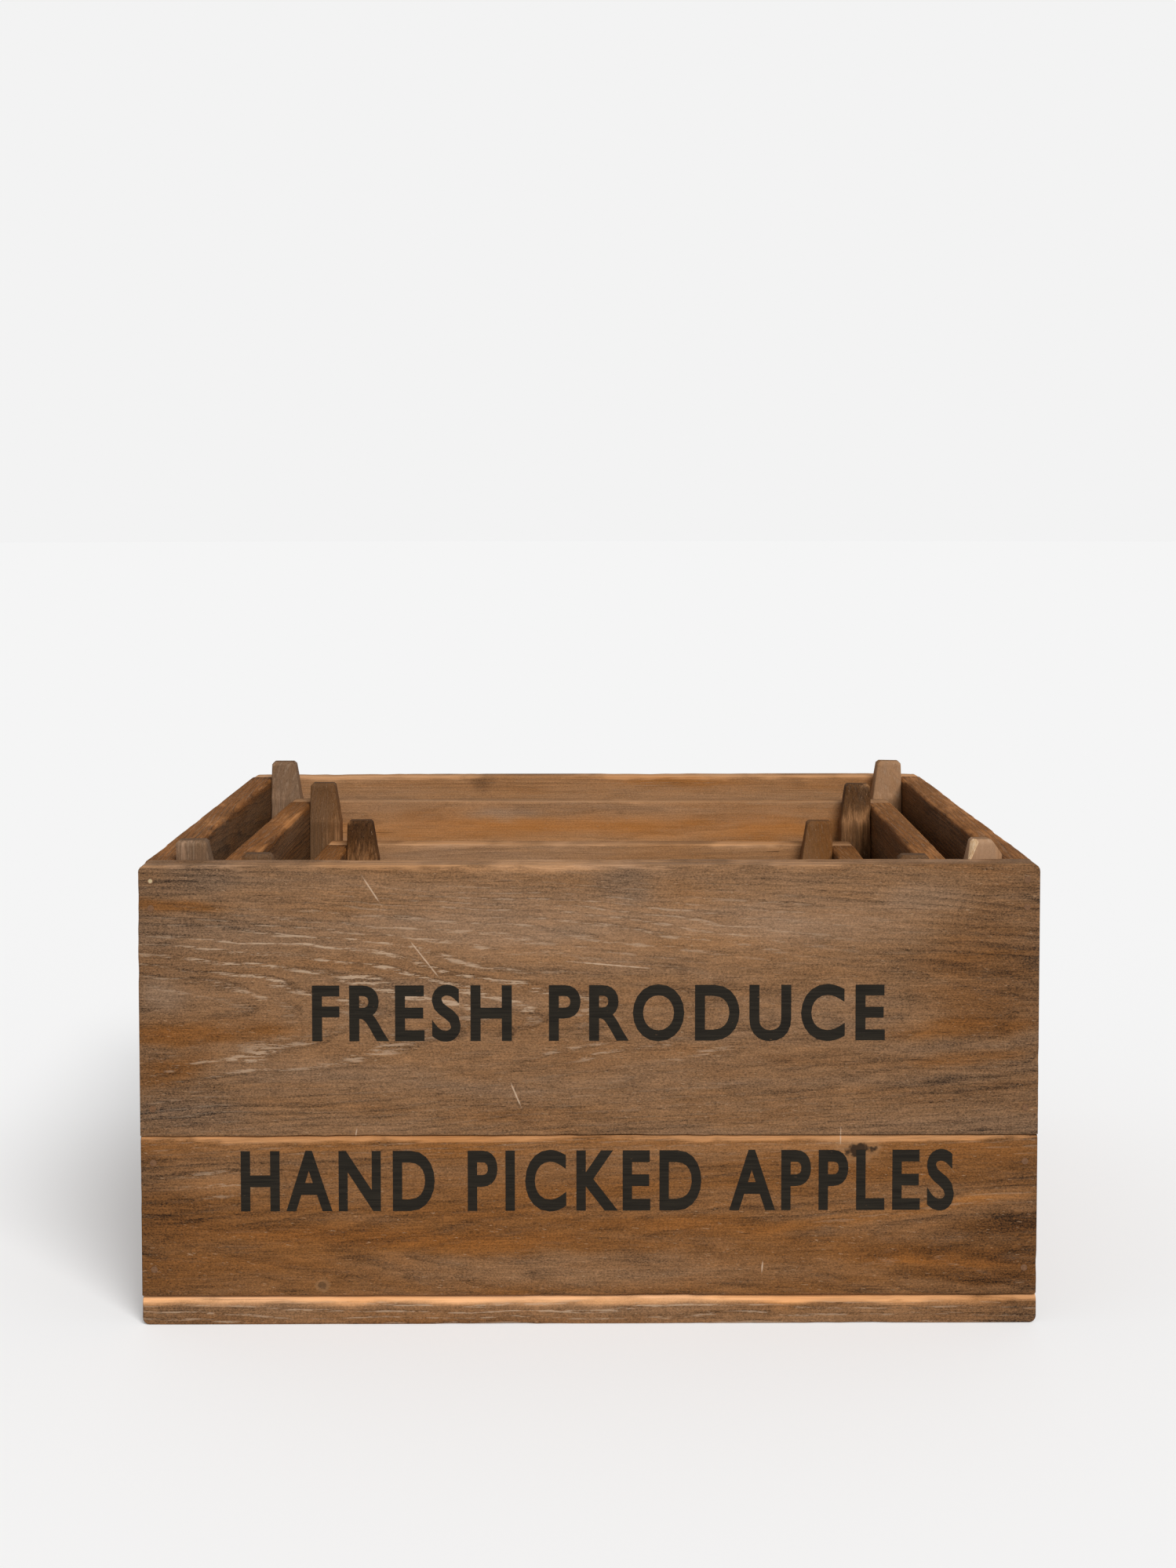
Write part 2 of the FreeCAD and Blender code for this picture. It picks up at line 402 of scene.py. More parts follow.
def cut_board(bm, node, along, low, high):
    """Cuts a board's surface up, finely where placed markings need it."""
    is_base = "base" in node
    fine = node in MARKINGS and not is_base
    cut_across(bm, along, evenly(low[along], high[along], FACE_CUT_ALONG if fine else CUT_ALONG))
    width = Y if is_base else Z
    cuts = evenly(low[width], high[width], FACE_CUT_ACROSS if fine else CUT_ACROSS)
    edges = [low[width] + WEAR_REACH, high[width] - WEAR_REACH]
    cut_across(bm, width, cuts + edges)
    if is_base:
        cut_across(bm, Z, [high.z - WEAR_REACH])


def board_tones(bm, node, through, low, high, tone, inside):
    """Each point's tone: that of the outer face, its markings, and what the inner face adds,
    which is painted light on the back walls and painted shade on the end walls. The inner face of
    a wall is the one nearer the middle of the crate."""
    tones = [marked_tone(v.co, *tone, MARKINGS.get(node, ())) for v in bm.verts]
    inner_face = low[through] if low[through] > 0 else high[through]
    on_end_rim = through == X and "upper" in node
    for v, point_tone in zip(bm.verts, tones):
        if inside:
            share = max(0.0, 1.0 - abs(v.co[through] - inner_face) / INSIDE_SKIN)
            point_tone += Vector(inside) * share
        if on_end_rim and v.co.z > high.z - RIM_ROUND:
            point_tone += RIM_TONE
    return tones


def worn_board(node, crate, along, material, seed, tone, inside=None):
    """A wall or base board: upper edges rounded, the others nearly sharp, all worn."""
    turn = TURNS[crate]
    bm = squared_copy(node, turn)
    low, high = corners(bm)
    order = BASE_ORDER if "base" in node else GRAIN_ORDER[along]
    pith = PITHS.get(node) or random_pith(seed, low, high, order)
    timber = Timber(node, crate, turn, order, pith, low, high)
    round_board(bm, node, along, low, high)
    cut_board(bm, node, along, low, high)
    level = WEAR.get(node, USUAL_WEAR)
    worn = wear_edges(bm, low, high, seed, order[1:], level, FOOT_WEAR)
    tones = board_tones(bm, node, order[2], low, high, tone, inside)
    place_piece(bm, timber, [material], worn, tones)


def break_off(bm, place, facing, slot):
    """Splits away the corner beyond a plane and closes the wood there with its own finish."""
    geometry = bm.verts[:] + bm.edges[:] + bm.faces[:]
    split = bmesh.ops.bisect_plane(
        bm, geom=geometry, dist=WELD, plane_co=place, plane_no=facing, clear_outer=True
    )
    rim = [e for e in split["geom_cut"] if isinstance(e, bmesh.types.BMEdge)]
    for face in bmesh.ops.contextual_create(bm, geom=rim)["faces"]:
        face.material_index = slot
    bmesh.ops.recalc_face_normals(bm, faces=bm.faces)


def worn_post(node, crate, materials, seed):
    """A sawn corner post, its proud tip scuffed where the next crate is stacked on it."""
    turn = TURNS[crate]
    tone = POST_TONES.get(node, PLAIN_POST_TONE)
    bm = squared_copy(node, turn)
    low, high = corners(bm)
    order = GRAIN_ORDER[Z]
    timber = Timber(node, crate, turn, order, random_pith(seed, low, high, order), low, high)
    round_over(bm, sharp_edges(bm), POST_ARRIS)
    for place, facing, slot in POST_SPLITS.get(node, ()):
        break_off(bm, Vector(place) * MM, Vector(facing).normalized(), slot)
    cut_across(bm, Z, evenly(high.z - TIP_LENGTH, high.z, TIP_CUT))
    cut_across(bm, Z, evenly(low.z, high.z - TIP_LENGTH, POST_CUT))
    worn = wear_edges(bm, low, high, seed, (X, Y, Z), POST_WEAR, POST_FOOT_WEAR)
    tones = [Vector(tone) for v in bm.verts]
    place_piece(bm, timber, materials, worn, tones)


# ---------------------------------------------------------------- finishes


def linear(hex_colour):
    """An sRGB hex value as linear RGBA."""
    channels = [int(hex_colour[i:i + 2], 16) / 255 for i in (1, 3, 5)]
    rgb = [c / 12.92 if c <= 0.04045 else ((c + 0.055) / 1.055) ** 2.4 for c in channels]
    return (*rgb, 1.0)


# What the nodes are set to do.
PLUS = {"operation": "ADD"}
PLUS_CLAMPED = {"operation": "ADD", "use_clamp": True}
MINUS = {"operation": "SUBTRACT"}
TIMES = {"operation": "MULTIPLY"}
TIMES_CLAMPED = {"operation": "MULTIPLY", "use_clamp": True}
TIMES_PLUS = {"operation": "MULTIPLY_ADD"}
EASED = {"interpolation_type": "SMOOTHSTEP"}
MIXED = {"data_type": "RGBA"}
MULTIPLIED = {"data_type": "RGBA", "blend_type": "MULTIPLY"}


def add(tree, kind, settings=None, out=0, **inputs):
    """Adds a node and returns one of its outputs. Settings are its properties, or the stops of a
    colour ramp as (position, hex colour); inputs are values or links, by name or by _index."""
    made = tree.nodes.new(f"ShaderNode{kind}")
    for key, value in (settings or {}).items():
        if key != "stops":
            setattr(made, key, value)
            continue
        elements = made.color_ramp.elements
        while len(elements) < len(value):
            elements.new(0.5)
        for element, (position, colour) in zip(elements, value):
            element.position = position
            element.color = linear(colour)
    for key, value in inputs.items():
        socket = made.inputs[int(key[1:])] if key[1:].isdigit() else made.inputs[key]
        if isinstance(value, bpy.types.NodeSocket):
            tree.links.new(value, socket)
        else:
            socket.default_value = value
    return made.outputs[out]


def new_material(name):
    """A new material, with its node tree and its shader."""
    material = bpy.data.materials.new(name)
    material.use_nodes = True
    return material, material.node_tree, material.node_tree.nodes["Principled BSDF"]


def finish_surface(tree, shader, colour, roughness, height, strength, depth):
    """Gives the shader its colour, its roughness and its relief, which is depth metres deep."""
    tree.links.new(colour, shader.inputs["Base Color"])
    tree.links.new(roughness, shader.inputs["Roughness"])
    relief = add(tree, "Bump", Height=height, Strength=strength, Distance=depth)
    tree.links.new(relief, shader.inputs["Normal"])


def grain_noise(tree, grain, along, across, detail, rough, distort=0.0):
    """Noise whose features measure along by across, in millimetres, drawn out along the grain."""
    size = (1 / (along * MM), 1 / (across * MM), 1 / (across * MM))
    sized = add(tree, "Mapping", Vector=grain, Scale=size)
    shape = {"Scale": 1.0, "Detail": detail, "Roughness": rough, "Distortion": distort}
    return add(tree, "TexNoise", Vector=sized, **shape)


def contrast(tree, light, pattern, strength):
    """Lightens and darkens by a pattern that averages a half."""
    centred = add(tree, "Math", MINUS, _0=pattern, _1=0.5)
    return add(tree, "Math", TIMES_PLUS, _0=centred, _1=strength, _2=light)


def lit(tree, colour, light):
    """The colour made lighter or darker by a number that varies over the surface."""
    grey = add(tree, "CombineColor", _0=light, _1=light, _2=light)
    return add(tree, "Mix", MULTIPLIED, out=2, _0=1.0, _6=colour, _7=grey)


def covered(tree, colour, cover, amount, strength=1.0):
    """The colour with another one, given as a hex value or a link, laid over part of it."""
    if strength != 1.0:
        amount = add(tree, "Math", TIMES, _0=amount, _1=strength)
    if isinstance(cover, str):
        cover = linear(cover)
    return add(tree, "Mix", MIXED, out=2, _0=amount, _6=colour, _7=cover)


def away_from(tree, place, x, z, half_length, half_height, slant=0.0):
    """The distance from a place on the front, which is 1 at the rim of an oval of that size."""
    centred = add(
        tree,
        "Mapping",
        {"vector_type": "TEXTURE"},
        Vector=place,
        Location=(x * MM, 0, z * MM),
        Rotation=(0, -math.radians(slant), 0),
        Scale=(half_length * MM, ANY_DEPTH, half_height * MM),
    )
    return add(tree, "VectorMath", {"operation": "LENGTH"}, out=1, _0=centred)


RING_SPACING = 2.2 * MM       # growth rings, measured out from the middle of the tree
RING_WAVER = 9.0 * MM         # how far they stray
ANY_DEPTH = 1000              # a size so large that depth into the board doesn't count
SCRATCH_HALF_WIDTH = 0.55     # millimetres, as the scratches' lengths are
FLECK_SLANT = 0.1             # radians between the pale flecks and the grain

STAIN = ((0.0, "#7B6049"), (0.35, "#7D5B3D"), (0.7, "#744B25"), (1.0, "#784A1F"))
BARE_WOOD = ((0.0, "#A1836B"), (0.4, "#B1835A"), (1.0, "#B0743F"))
SCUFF = "#B59A80"
FLECK = "#A98A6C"
CHECK = "#3A2412"
KNOT_HEART = "#23180E"
KNOT_HALO = "#9A7450"
SCRATCH = "#C0A48A"
SAWN_END = "#4A3019"


def growth_rings(tree, grain):
    """How far through its year's growth each point is, from 0 to 1."""
    _, across, through = add(tree, "SeparateXYZ", Vector=grain).node.outputs
    square = add(tree, "Math", TIMES, _0=through, _1=through)
    square = add(tree, "Math", TIMES_PLUS, _0=across, _1=across, _2=square)
    radius = add(tree, "Math", {"operation": "SQRT"}, _0=square)
    waver = grain_noise(tree, grain, 130, 22, 3, 0.5)
    radius = add(tree, "Math", TIMES_PLUS, _0=waver, _1=RING_WAVER, _2=radius)
    years = add(tree, "Math", {"operation": "DIVIDE"}, _0=radius, _1=RING_SPACING)
    return add(tree, "Math", {"operation": "FRACT"}, _0=years)


def growth_lines(tree, grain, ring):
    """A thin dark line at the end of each year, clear in some parts of a board."""
    rise = add(tree, "MapRange", EASED, _0=ring, _1=0.25, _2=0.85)
    fall = add(tree, "MapRange", EASED, _0=ring, _1=0.9, _2=1.0, _3=1.0, _4=0.0)
    line = add(tree, "Math", TIMES, _0=rise, _1=fall)
    parts = grain_noise(tree, grain, 180, 14, 2, 0.5)
    parts = add(tree, "MapRange", EASED, _0=parts, _1=0.38, _2=0.64, _3=0.15, _4=1.0)
    return add(tree, "Math", TIMES, _0=line, _1=parts)


def hairline_checks(tree, grain):
    """Dark hairline cracks along the grain, a few to a board."""
    cracks = grain_noise(tree, grain, 110, 0.8, 2, 0.5)
    cracks = add(tree, "MapRange", EASED, _0=cracks, _1=0.66, _2=0.72)
    parts = grain_noise(tree, grain, 160, 16, 2, 0.5)
    parts = add(tree, "MapRange", EASED, _0=parts, _1=0.52, _2=0.62)
    return add(tree, "Math", TIMES, _0=cracks, _1=parts)


def ridge_scuffs(tree, grain, ring, scuffs):
    """Broken pale dashes where rubbing has caught the ridges of the growth rings."""
    dashes = grain_noise(tree, grain, 16, 1.5, 4, 0.75)
    dashes = add(tree, "MapRange", EASED, _0=dashes, _1=0.49, _2=0.56)
    near = add(tree, "MapRange", EASED, _0=ring, _1=0.45, _2=0.62)
    far = add(tree, "MapRange", EASED, _0=ring, _1=0.74, _2=0.86, _3=1.0, _4=0.0)
    ridge = add(tree, "Math", TIMES, _0=near, _1=far)
    scuffed = add(tree, "Math", TIMES, _0=dashes, _1=ridge)
    return add(tree, "Math", TIMES_CLAMPED, _0=scuffed, _1=scuffs)


def pale_flecks(tree, grain):
    slanted = add(tree, "Mapping", Vector=grain, Rotation=(0, 0, FLECK_SLANT))
    flecks = grain_noise(tree, slanted, 4.5, 0.8, 2, 0.6)
    return add(tree, "MapRange", EASED, _0=flecks, _1=0.67, _2=0.72)


def rubbed_bare(tree, grain, colour, warmth, shade, fibres):
    """Bare tan wood where hands and stacking have worn the edges through the stain."""
    wear = add(tree, "Attribute", {"attribute_name": "wear"}, out=2)
    broken = grain_noise(tree, grain, 26, 1.6, 4, 0.7)
    bare = contrast(tree, wear, broken, 1.0)
    bare = add(tree, "MapRange", EASED, _0=bare, _1=0.3, _2=0.75)
    wood = add(tree, "ValToRGB", {"stops": BARE_WOOD}, Fac=warmth)
    light = add(tree, "Math", TIMES_PLUS, _0=fibres, _1=1.4, _2=0.3)
    # the tone's shade lightens the bare wood as well, so painted highlights in the tone show here
    # too
    light = add(tree, "Math", TIMES_PLUS, _0=shade, _1=0.5, _2=light)
    return covered(tree, colour, lit(tree, wood, light), bare, 0.85)


def knots_and_scratches(tree, colour, knots, scratches):
    """Dark knots in a paler swirl of grain, and scratches paler than the stain."""
    place = add(tree, "TexCoord", out=3)
    swirl = add(tree, "TexNoise", Vector=place, Scale=1 / (4.5 * MM), Detail=3.0)
    for x, z, half_width, half_height, darkness in knots:
        away = away_from(tree, place, x, z, half_width, half_height)
        away = contrast(tree, away, swirl, 1.6)
        heart = add(tree, "MapRange", EASED, _0=away, _1=0.45, _2=0.8, _3=darkness, _4=0.0)
        halo = add(tree, "MapRange", EASED, _0=away, _1=0.9, _2=1.5, _3=0.35, _4=0.0)
        colour = covered(tree, colour, KNOT_HALO, halo)
        colour = covered(tree, colour, KNOT_HEART, heart)
    for x, z, length, slant in scratches:
        away = away_from(tree, place, x, z, length / 2, SCRATCH_HALF_WIDTH, slant)
        away = add(tree, "Math", TIMES_PLUS, _0=swirl, _1=1.2, _2=away)
        cut = add(tree, "MapRange", EASED, _0=away, _1=0.9, _2=1.6, _3=0.75, _4=0.0)
        colour = covered(tree, colour, SCRATCH, cut)
    return colour


def stained_fir(name, knots=(), scratches=(), figure=1.0):
    """Fir, planed, stained brown and rubbed back: matt, in grey-brown and red-brown patches, with
    fine dark growth lines, pale scuffs on their ridges, and bare tan wood on the handled edges.
    Figure sets how strongly the fibres, pores and growth lines show."""
    material, tree, shader = new_material(name)
    grain = add(tree, "Attribute", {"attribute_name": "grain"}, out=1)
    tone = add(tree, "Attribute", {"attribute_name": "tone"}, out=1)
    warmth, shade, scuffs = add(tree, "SeparateXYZ", Vector=tone).node.outputs

    # Stain: greyer and redder patches a hand or so long.
    patches = grain_noise(tree, grain, 150, 20, 4, 0.6, 0.3)
    patches = add(tree, "Math", TIMES_PLUS, _0=patches, _1=1.1, _2=-0.55)
    warmth = add(tree, "Math", PLUS_CLAMPED, _0=warmth, _1=patches)
    colour = add(tree, "ValToRGB", {"stops": STAIN}, Fac=warmth)

    # Light and dark: fibres, blotches a fingertip wide, the speckle of open pores, growth lines,
    #     the board's shade from its tone (its own, with the painted light, shade and highlights
    #     laid into it), and ends that soak up more stain.
    fibres = grain_noise(tree, grain, 46, 0.8, 4, 0.65)
    blotches = grain_noise(tree, grain, 30, 9, 5, 0.7, 0.4)
    pores = grain_noise(tree, grain, 1.1, 0.7, 2, 0.8)
    ring = growth_rings(tree, grain)
    lines = growth_lines(tree, grain, ring)
    span = add(tree, "Attribute", {"attribute_name": "span"}, out=2)
    soaked = add(tree, "Math", {"operation": "POWER"}, _0=span, _1=6.0)
    light = contrast(tree, 1.0, fibres, 1.2 * figure)
    light = contrast(tree, light, blotches, 0.85 * figure)
    light = contrast(tree, light, pores, 2.2 * figure)
    light = add(tree, "Math", TIMES_PLUS, _0=lines, _1=-0.32 * figure, _2=light)
    light = add(tree, "Math", PLUS, _0=shade, _1=light)
    light = add(tree, "Math", TIMES_PLUS, _0=soaked, _1=-0.22, _2=light)
    light = add(tree, "Math", {"operation": "MAXIMUM"}, _0=light, _1=0.1)
    colour = lit(tree, colour, light)

    # Marks, from the oldest to the newest.
    checks = hairline_checks(tree, grain)
    colour = covered(tree, colour, CHECK, checks, 0.55 * figure)
    colour = covered(tree, colour, SCUFF, ridge_scuffs(tree, grain, ring, scuffs), 0.75)
    colour = covered(tree, colour, FLECK, pale_flecks(tree, grain), 0.5)
    colour = rubbed_bare(tree, grain, colour, warmth, shade, fibres)
    colour = knots_and_scratches(tree, colour, knots, scratches)
    sawn = add(tree, "Attribute", {"attribute_name": "end_grain"}, out=2)
    colour = covered(tree, colour, SAWN_END, sawn, 0.45)

    shader.inputs["IOR"].default_value = 1.45
    shader.inputs["Specular IOR Level"].default_value = 0.2
    roughness = add(tree, "MapRange", EASED, _0=fibres, _1=0.3, _2=0.7, _3=0.92, _4=0.72)
    height = add(tree, "Math", TIMES, _0=fibres, _1=0.6)
    height = add(tree, "Math", TIMES_PLUS, _0=pores, _1=0.3, _2=height)
    height = add(tree, "Math", TIMES_PLUS, _0=checks, _1=-1.2, _2=height)
    height = add(tree, "Math", TIMES_PLUS, _0=lines, _1=0.25, _2=height)
    finish_surface(tree, shader, colour, roughness, height, 0.7, 0.35 * MM)
    return material


def split_fir():
    """Freshly split fir, never stained: pale straw with fine darker fibres, quite matt."""
    material, tree, shader = new_material("split_fir")
    grain = add(tree, "Attribute", {"attribute_name": "grain"}, out=1)
    fibres = grain_noise(tree, grain, 12, 0.7, 4, 0.7)
    straw = ((0.3, "#D0A273"), (0.5, "#EEC698"), (0.7, "#FBE0BC"))
    colour = add(tree, "ValToRGB", {"stops": straw}, Fac=fibres)
    tree.links.new(colour, shader.inputs["Base Color"])
    shader.inputs["Roughness"].default_value = 0.85
    relief = add(tree, "Bump", Height=fibres, Strength=0.8, Distance=0.4 * MM)
    tree.links.new(relief, shader.inputs["Normal"])
    return material


def nail_steel():
    """Steel wire nails, stained over with the wood and dull, but for one head rubbed bright."""
    material, tree, shader = new_material("steel_wire_nail")
    place = add(tree, "TexCoord", out=3)
    x, y, z = BRIGHT_NAIL
    centred = add(tree, "Mapping", Vector=place, Location=(-x * MM, -y * MM, -z * MM))
    away = add(tree, "VectorMath", {"operation": "LENGTH"}, out=1, _0=centred)
    bright = add(tree, "MapRange", EASED, _0=away, _1=0.8 * MM, _2=1.3 * MM, _3=1.0, _4=0.0)
    tarnish = add(tree, "TexNoise", Vector=place, Scale=1 / (1.1 * MM), Detail=3.0)
    dull = add(tree, "ValToRGB", {"stops": ((0.3, "#5E4028"), (0.7, "#7C5636"))}, Fac=tarnish)
    tree.links.new(covered(tree, dull, "#CDB890", bright), shader.inputs["Base Color"])
    roughness = add(tree, "Math", TIMES_PLUS, _0=bright, _1=-0.55, _2=0.85)
    tree.links.new(roughness, shader.inputs["Roughness"])
    metallic = add(tree, "Math", TIMES_PLUS, _0=bright, _1=0.9, _2=0.1)
    tree.links.new(metallic, shader.inputs["Metallic"])
    return material


def printed_ink():
    """Black-brown printing ink, rolled on through a stencil: matt, thin where the grain is
    raised, and rubbed off in flecks along it."""
    material, tree, shader = new_material("stencil_ink")
    place = add(tree, "TexCoord", out=3)
    fibres = grain_noise(tree, place, 30, 0.9, 4, 0.7)
    thin = add(tree, "MapRange", EASED, _0=fibres, _1=0.3, _2=0.75)
    colour = add(tree, "Mix", MIXED, out=2, _0=thin, _6=linear("#17130D"), _7=linear("#262016"))
    flecks = grain_noise(tree, place, 6, 1.2, 3, 0.7)
    flecks = add(tree, "MapRange", EASED, _0=flecks, _1=0.68, _2=0.74)
    colour = covered(tree, colour, "#6E5138", flecks, 0.8)
    shader.inputs["Specular IOR Level"].default_value = 0.2
    roughness = add(tree, "MapRange", EASED, _0=fibres, _1=0.3, _2=0.7, _3=0.92, _4=0.75)
    finish_surface(tree, shader, colour, roughness, fibres, 0.5, 0.2 * MM)
    return material


# ---------------------------------------------------------------- lettering


INK_THICKNESS = 0.06 * MM
LETTER_WEIGHT = 0.028         # strokes thickened, as a share of the letter size
LETTER_SPACING = 1.2          # letters set apart, as stencils cut for a roller are
LETTER_DEPTH = 0.01           # also of the letter size, until the ink gets its thickness
CURVE_POINTS = 5
LETTER_WELD = 1e-5


def stencilled(name, words, left, right, foot, top, ink):
    """Generic words printed on the front, as a film of ink on the boards."""
    outline = bpy.data.curves.new(name, "FONT")
    outline.body = words
    outline.offset = LETTER_WEIGHT
    outline.space_character = LETTER_SPACING
    outline.extrude = LETTER_DEPTH
    outline.resolution_u = CURVE_POINTS
    writing = bpy.data.objects.new(name, outline)
    bpy.context.collection.objects.link(writing)
    graph = bpy.context.evaluated_depsgraph_get()
    mesh = bpy.data.meshes.new_from_object(writing.evaluated_get(graph))
    bpy.data.objects.remove(writing)
    bm = bmesh.new()
    bm.from_mesh(mesh)
    bmesh.ops.remove_doubles(bm, verts=bm.verts, dist=LETTER_WELD)
    low, high = corners(bm)
    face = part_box("large_front_board_upper")[0][Y]
    size = high - low
    scale = Vector(((right - left) * MM / size.x, (top - foot) * MM / size.y, 1))
    for v in bm.verts:
        x = left * MM + (v.co.x - low.x) * scale.x
        z = foot * MM + (v.co.y - low.y) * scale.y
        y = face - INK_THICKNESS if v.co.z > 0 else face + INK_THICKNESS
        v.co = Vector((x, y, z))
    bmesh.ops.recalc_face_normals(bm, faces=bm.faces)
    bm.to_mesh(mesh)
    bm.free()
    mesh.name = name
    mesh.materials.clear()
    mesh.materials.append(ink)
    piece = bpy.data.objects.new(name, mesh)
    bpy.context.collection.objects.link(piece)
    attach(piece, "large_crate")


# ---------------------------------------------------------------- the nest


# Each board's (warmth, shade, scuffs) before its markings.
TONES = {
    "front_upper": (0.32, 0.0, 0.05),
    "front_lower": (0.62, 0.0, 0.05),
    "back_upper": (0.42, 0.05, 0.2),
    "back_lower": (0.55, 0.0, 0.1),
    "side_upper": (0.5, -0.02, 0.15),
    "side_lower": (0.6, -0.05, 0.1),
    "base": (0.42, 0.08, 0.3),
}

# What the inner faces add: painted light on the back ones, where the light from the front falls
# on them, and painted shade on the end ones, which it only grazes.
PAINTED_INSIDE_LIGHT_AND_SHADE = {
    "front": (0.0, 0.0, 0.0),
    "back": (-0.08, 0.95, -0.1),
    "side": (0.12, -0.20, -0.1),
}

# The tones of the posts, which were cut from odd lengths and took the stain differently.
POST_TONES = {
    "large_post_front_left": (0.15, 0.05, 0.3),
    "large_post_front_right": (0.10, 1.15, 0.2),
    "large_post_back_left": (0.15, 0.12, 0.3),
    "large_post_back_right": (0.25, 0.80, 0.3),
    "medium_post_back_left": (0.55, -0.12, 0.1),
    "medium_post_back_right": (0.55, -0.32, 0.1),
    "small_post_back_left": (0.75, -0.45, 0.0),
    "small_post_back_right": (0.6, 0.12, 0.1),
}
PLAIN_POST_TONE = (0.45, -0.10, 0.2)

MARKINGS = {
    "large_front_board_upper": FRONT_UPPER_MARKINGS,
    "large_front_board_lower": FRONT_LOWER_MARKINGS,
    "large_base_board_front": BASE_FRONT_MARKINGS,
    "large_back_board_upper": LARGE_BACK_MARKINGS,
    "medium_back_board_upper": MEDIUM_BACK_MARKINGS,
}

# Where the tree's middle lay for the boards with a placed figure.
PITHS = {
    "large_front_board_upper": Pith(160 * MM, 77 * MM, 0.05),
    "large_front_board_lower": Pith(35 * MM, 60 * MM, -0.045),
}

# How far the upper edges are rubbed bare, where that isn't USUAL_WEAR.
WEAR = {
    "large_front_board_upper": 0.64,
    "medium_back_board_upper": 0.55,
    "large_front_board_lower": 1.25,
    "large_base_board_front": 1.35,
}

# The front right post has lost a sliver from its left corner and its right shoulder:
# a point on each break in millimetres, the way the break faces, and the finish under it.
POST_SPLITS = {
    "large_post_front_right": (
        ((202.3, -164, 248), (-1.0, -0.95, 0.42), 1),
        ((208.5, -164, 248), (1.0, 0.15, 0.70), 0),
    ),
}

# Knots as (x, z, half width, half height, darkness).
KNOTS = ((138, 90.5, 10.0, 5.0, 0.92), (-137, 20.5, 3.4, 2.6, 0.5))

# Scratches as (x, z, length, slant in degrees).
SCRATCHES = (
    (-84.5, 190, 30, -52),
    (-111, 225, 22, -57),
    (-119.5, 100, 7, 80),
    (-37.5, 119, 18, -67),
    (10.5, 186.5, 50, -5),
    (128.8, 98.2, 10, 90),
    (88.8, 29.7, 7, 85),
)

# The one nail head that still shines, in millimetres.
BRIGHT_NAIL = (-223.5, -180, 230)

FIRST_SEEDS = {"large": 11, "medium": 41, "small": 71}


def build_crate(crate, first_seed, fir, front_fir, post_firs):
    """Every board and post of one crate, each with its own figure."""
    seed = first_seed
    walls = [(end, X) for end in ENDS] + [(side, Y) for side in SIDES]
    for row in ROWS:
        for wall, along in walls:
            node = f"{crate}_{wall}_board_{row}"
            wood = front_fir if node in PITHS else fir
            kind = wall if along == X else "side"
            tone = TONES[f"{kind}_{row}"]
            # the inner faces get painted light on the back walls and painted shade on the end
            # walls
            worn_board(node, crate, along, wood, seed, tone, PAINTED_INSIDE_LIGHT_AND_SHADE[kind])
            seed += 1
    for name in BASE_BOARDS:
        worn_board(f"{crate}_base_board_{name}", crate, X, fir, seed, TONES["base"])
        seed += 1
    for end in ENDS:
        for side in SIDES:
            worn_post(f"{crate}_post_{end}_{side}", crate, post_firs, seed)
            seed += 1


fir = stained_fir("stained_fir")
front_fir = stained_fir("stained_fir_knotty", KNOTS, SCRATCHES)
post_firs = [stained_fir("stained_fir_post", figure=0.4), split_fir()]
for crate in CRATES:
    build_crate(crate, FIRST_SEEDS[crate], fir, front_fir, post_firs)

steel = nail_steel()
for name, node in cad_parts.items():
    if name.endswith("nails"):
        node.data.materials.clear()
        node.data.materials.append(steel)

ink = printed_ink()
# The left, right, lower and upper edges of each line of lettering are in millimetres.
stencilled("lettering_upper", "FRESH PRODUCE", -141.7, 151.1, 147.0, 176.5, ink)
stencilled("lettering_lower", "HAND PICKED APPLES", -178.8, 187.1, 58.8, 90.9, ink)


# ---------------------------------------------------------------- stage


FLOOR_REACH = 40.0            # metres, so that it meets the background
FLOOR_SIDES = 96
FLOOR_GLOW = 0.155
BACKGROUND = "#F3F3F3"
SURROUND_LIGHT = 0.42
SUN_STRENGTH = 2.40
SUN_SPREAD = 28.0             # degrees, which is what makes the shadows soft
SUN_DIRECTION = (-0.35, 0.78, -0.85)
EYE = (-5.3, -1164.9, 412.6)  # millimetres
EYE_TURN = (90 - 2.577, 0.04, -0.275)   # degrees
LENS = 44.7
SENSOR = 36.0
LENS_SHIFT = -0.1114          # downwards, as a share of the longer side of the view


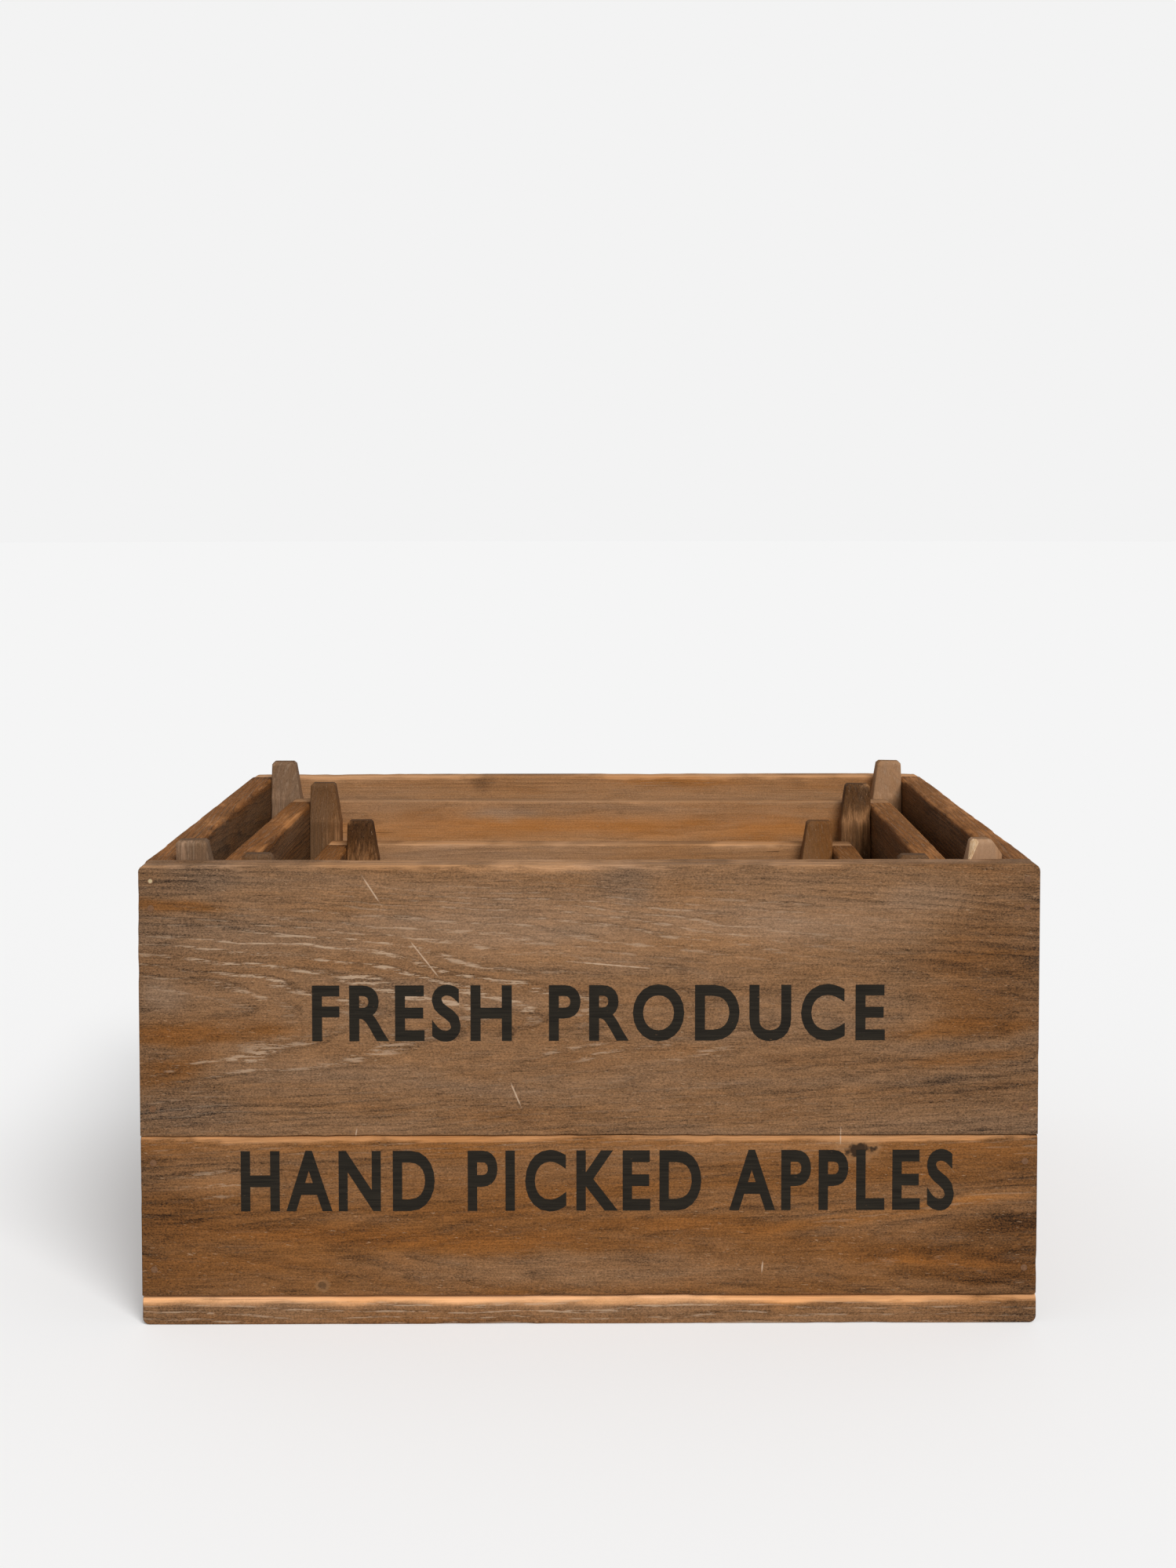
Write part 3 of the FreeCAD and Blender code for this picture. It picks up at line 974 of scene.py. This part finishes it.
def add_floor():
    """A pale floor, quite matt so that only soft shadows show on it."""
    bm = bmesh.new()
    bmesh.ops.create_circle(bm, cap_ends=True, segments=FLOOR_SIDES, radius=FLOOR_REACH)
    mesh = bpy.data.meshes.new("studio_floor")
    bm.to_mesh(mesh)
    bm.free()
    material, _, shader = new_material("matt_floor_paint")
    shader.inputs["Base Color"].default_value = linear("#E6E6E6")
    shader.inputs["Emission Color"].default_value = linear("#FFFFFF")
    shader.inputs["Emission Strength"].default_value = FLOOR_GLOW
    shader.inputs["Roughness"].default_value = 1.0
    shader.inputs["Specular IOR Level"].default_value = 0.0
    mesh.materials.append(material)
    floor = bpy.data.objects.new("studio_floor", mesh)
    bpy.context.collection.objects.link(floor)


def add_sun():
    """A large soft light in front and to the right."""
    light = bpy.data.lights.new("key", "SUN")
    light.energy = SUN_STRENGTH
    light.angle = math.radians(SUN_SPREAD)
    lamp = bpy.data.objects.new("key", light)
    lamp.rotation_euler = Vector(SUN_DIRECTION).to_track_quat("-Z", "Y").to_euler()
    bpy.context.collection.objects.link(lamp)


def add_surroundings():
    """An even pale surround, which looks brighter than the light it casts."""
    world = bpy.data.worlds.new("studio")
    world.use_nodes = True
    tree = world.node_tree
    seen = add(tree, "Background", Color=linear(BACKGROUND), Strength=1.0)
    cast = add(tree, "Background", Color=linear("#FFFFFF"), Strength=SURROUND_LIGHT)
    directly = add(tree, "LightPath")
    surround = add(tree, "MixShader", _0=directly, _1=cast, _2=seen)
    tree.links.new(surround, tree.nodes["World Output"].inputs["Surface"])
    bpy.context.scene.world = world
    bpy.context.scene.view_settings.view_transform = "Standard"


def add_camera():
    """Eye a little over a metre in front of the crate, looking slightly down."""
    data = bpy.data.cameras.new("camera")
    data.sensor_width = SENSOR
    data.lens = LENS
    data.shift_y = LENS_SHIFT
    camera = bpy.data.objects.new("camera", data)
    camera.location = Vector(EYE) * MM
    camera.rotation_euler = [math.radians(turn) for turn in EYE_TURN]
    bpy.context.collection.objects.link(camera)
    bpy.context.scene.camera = camera


add_floor()
add_surroundings()
add_sun()
add_camera()
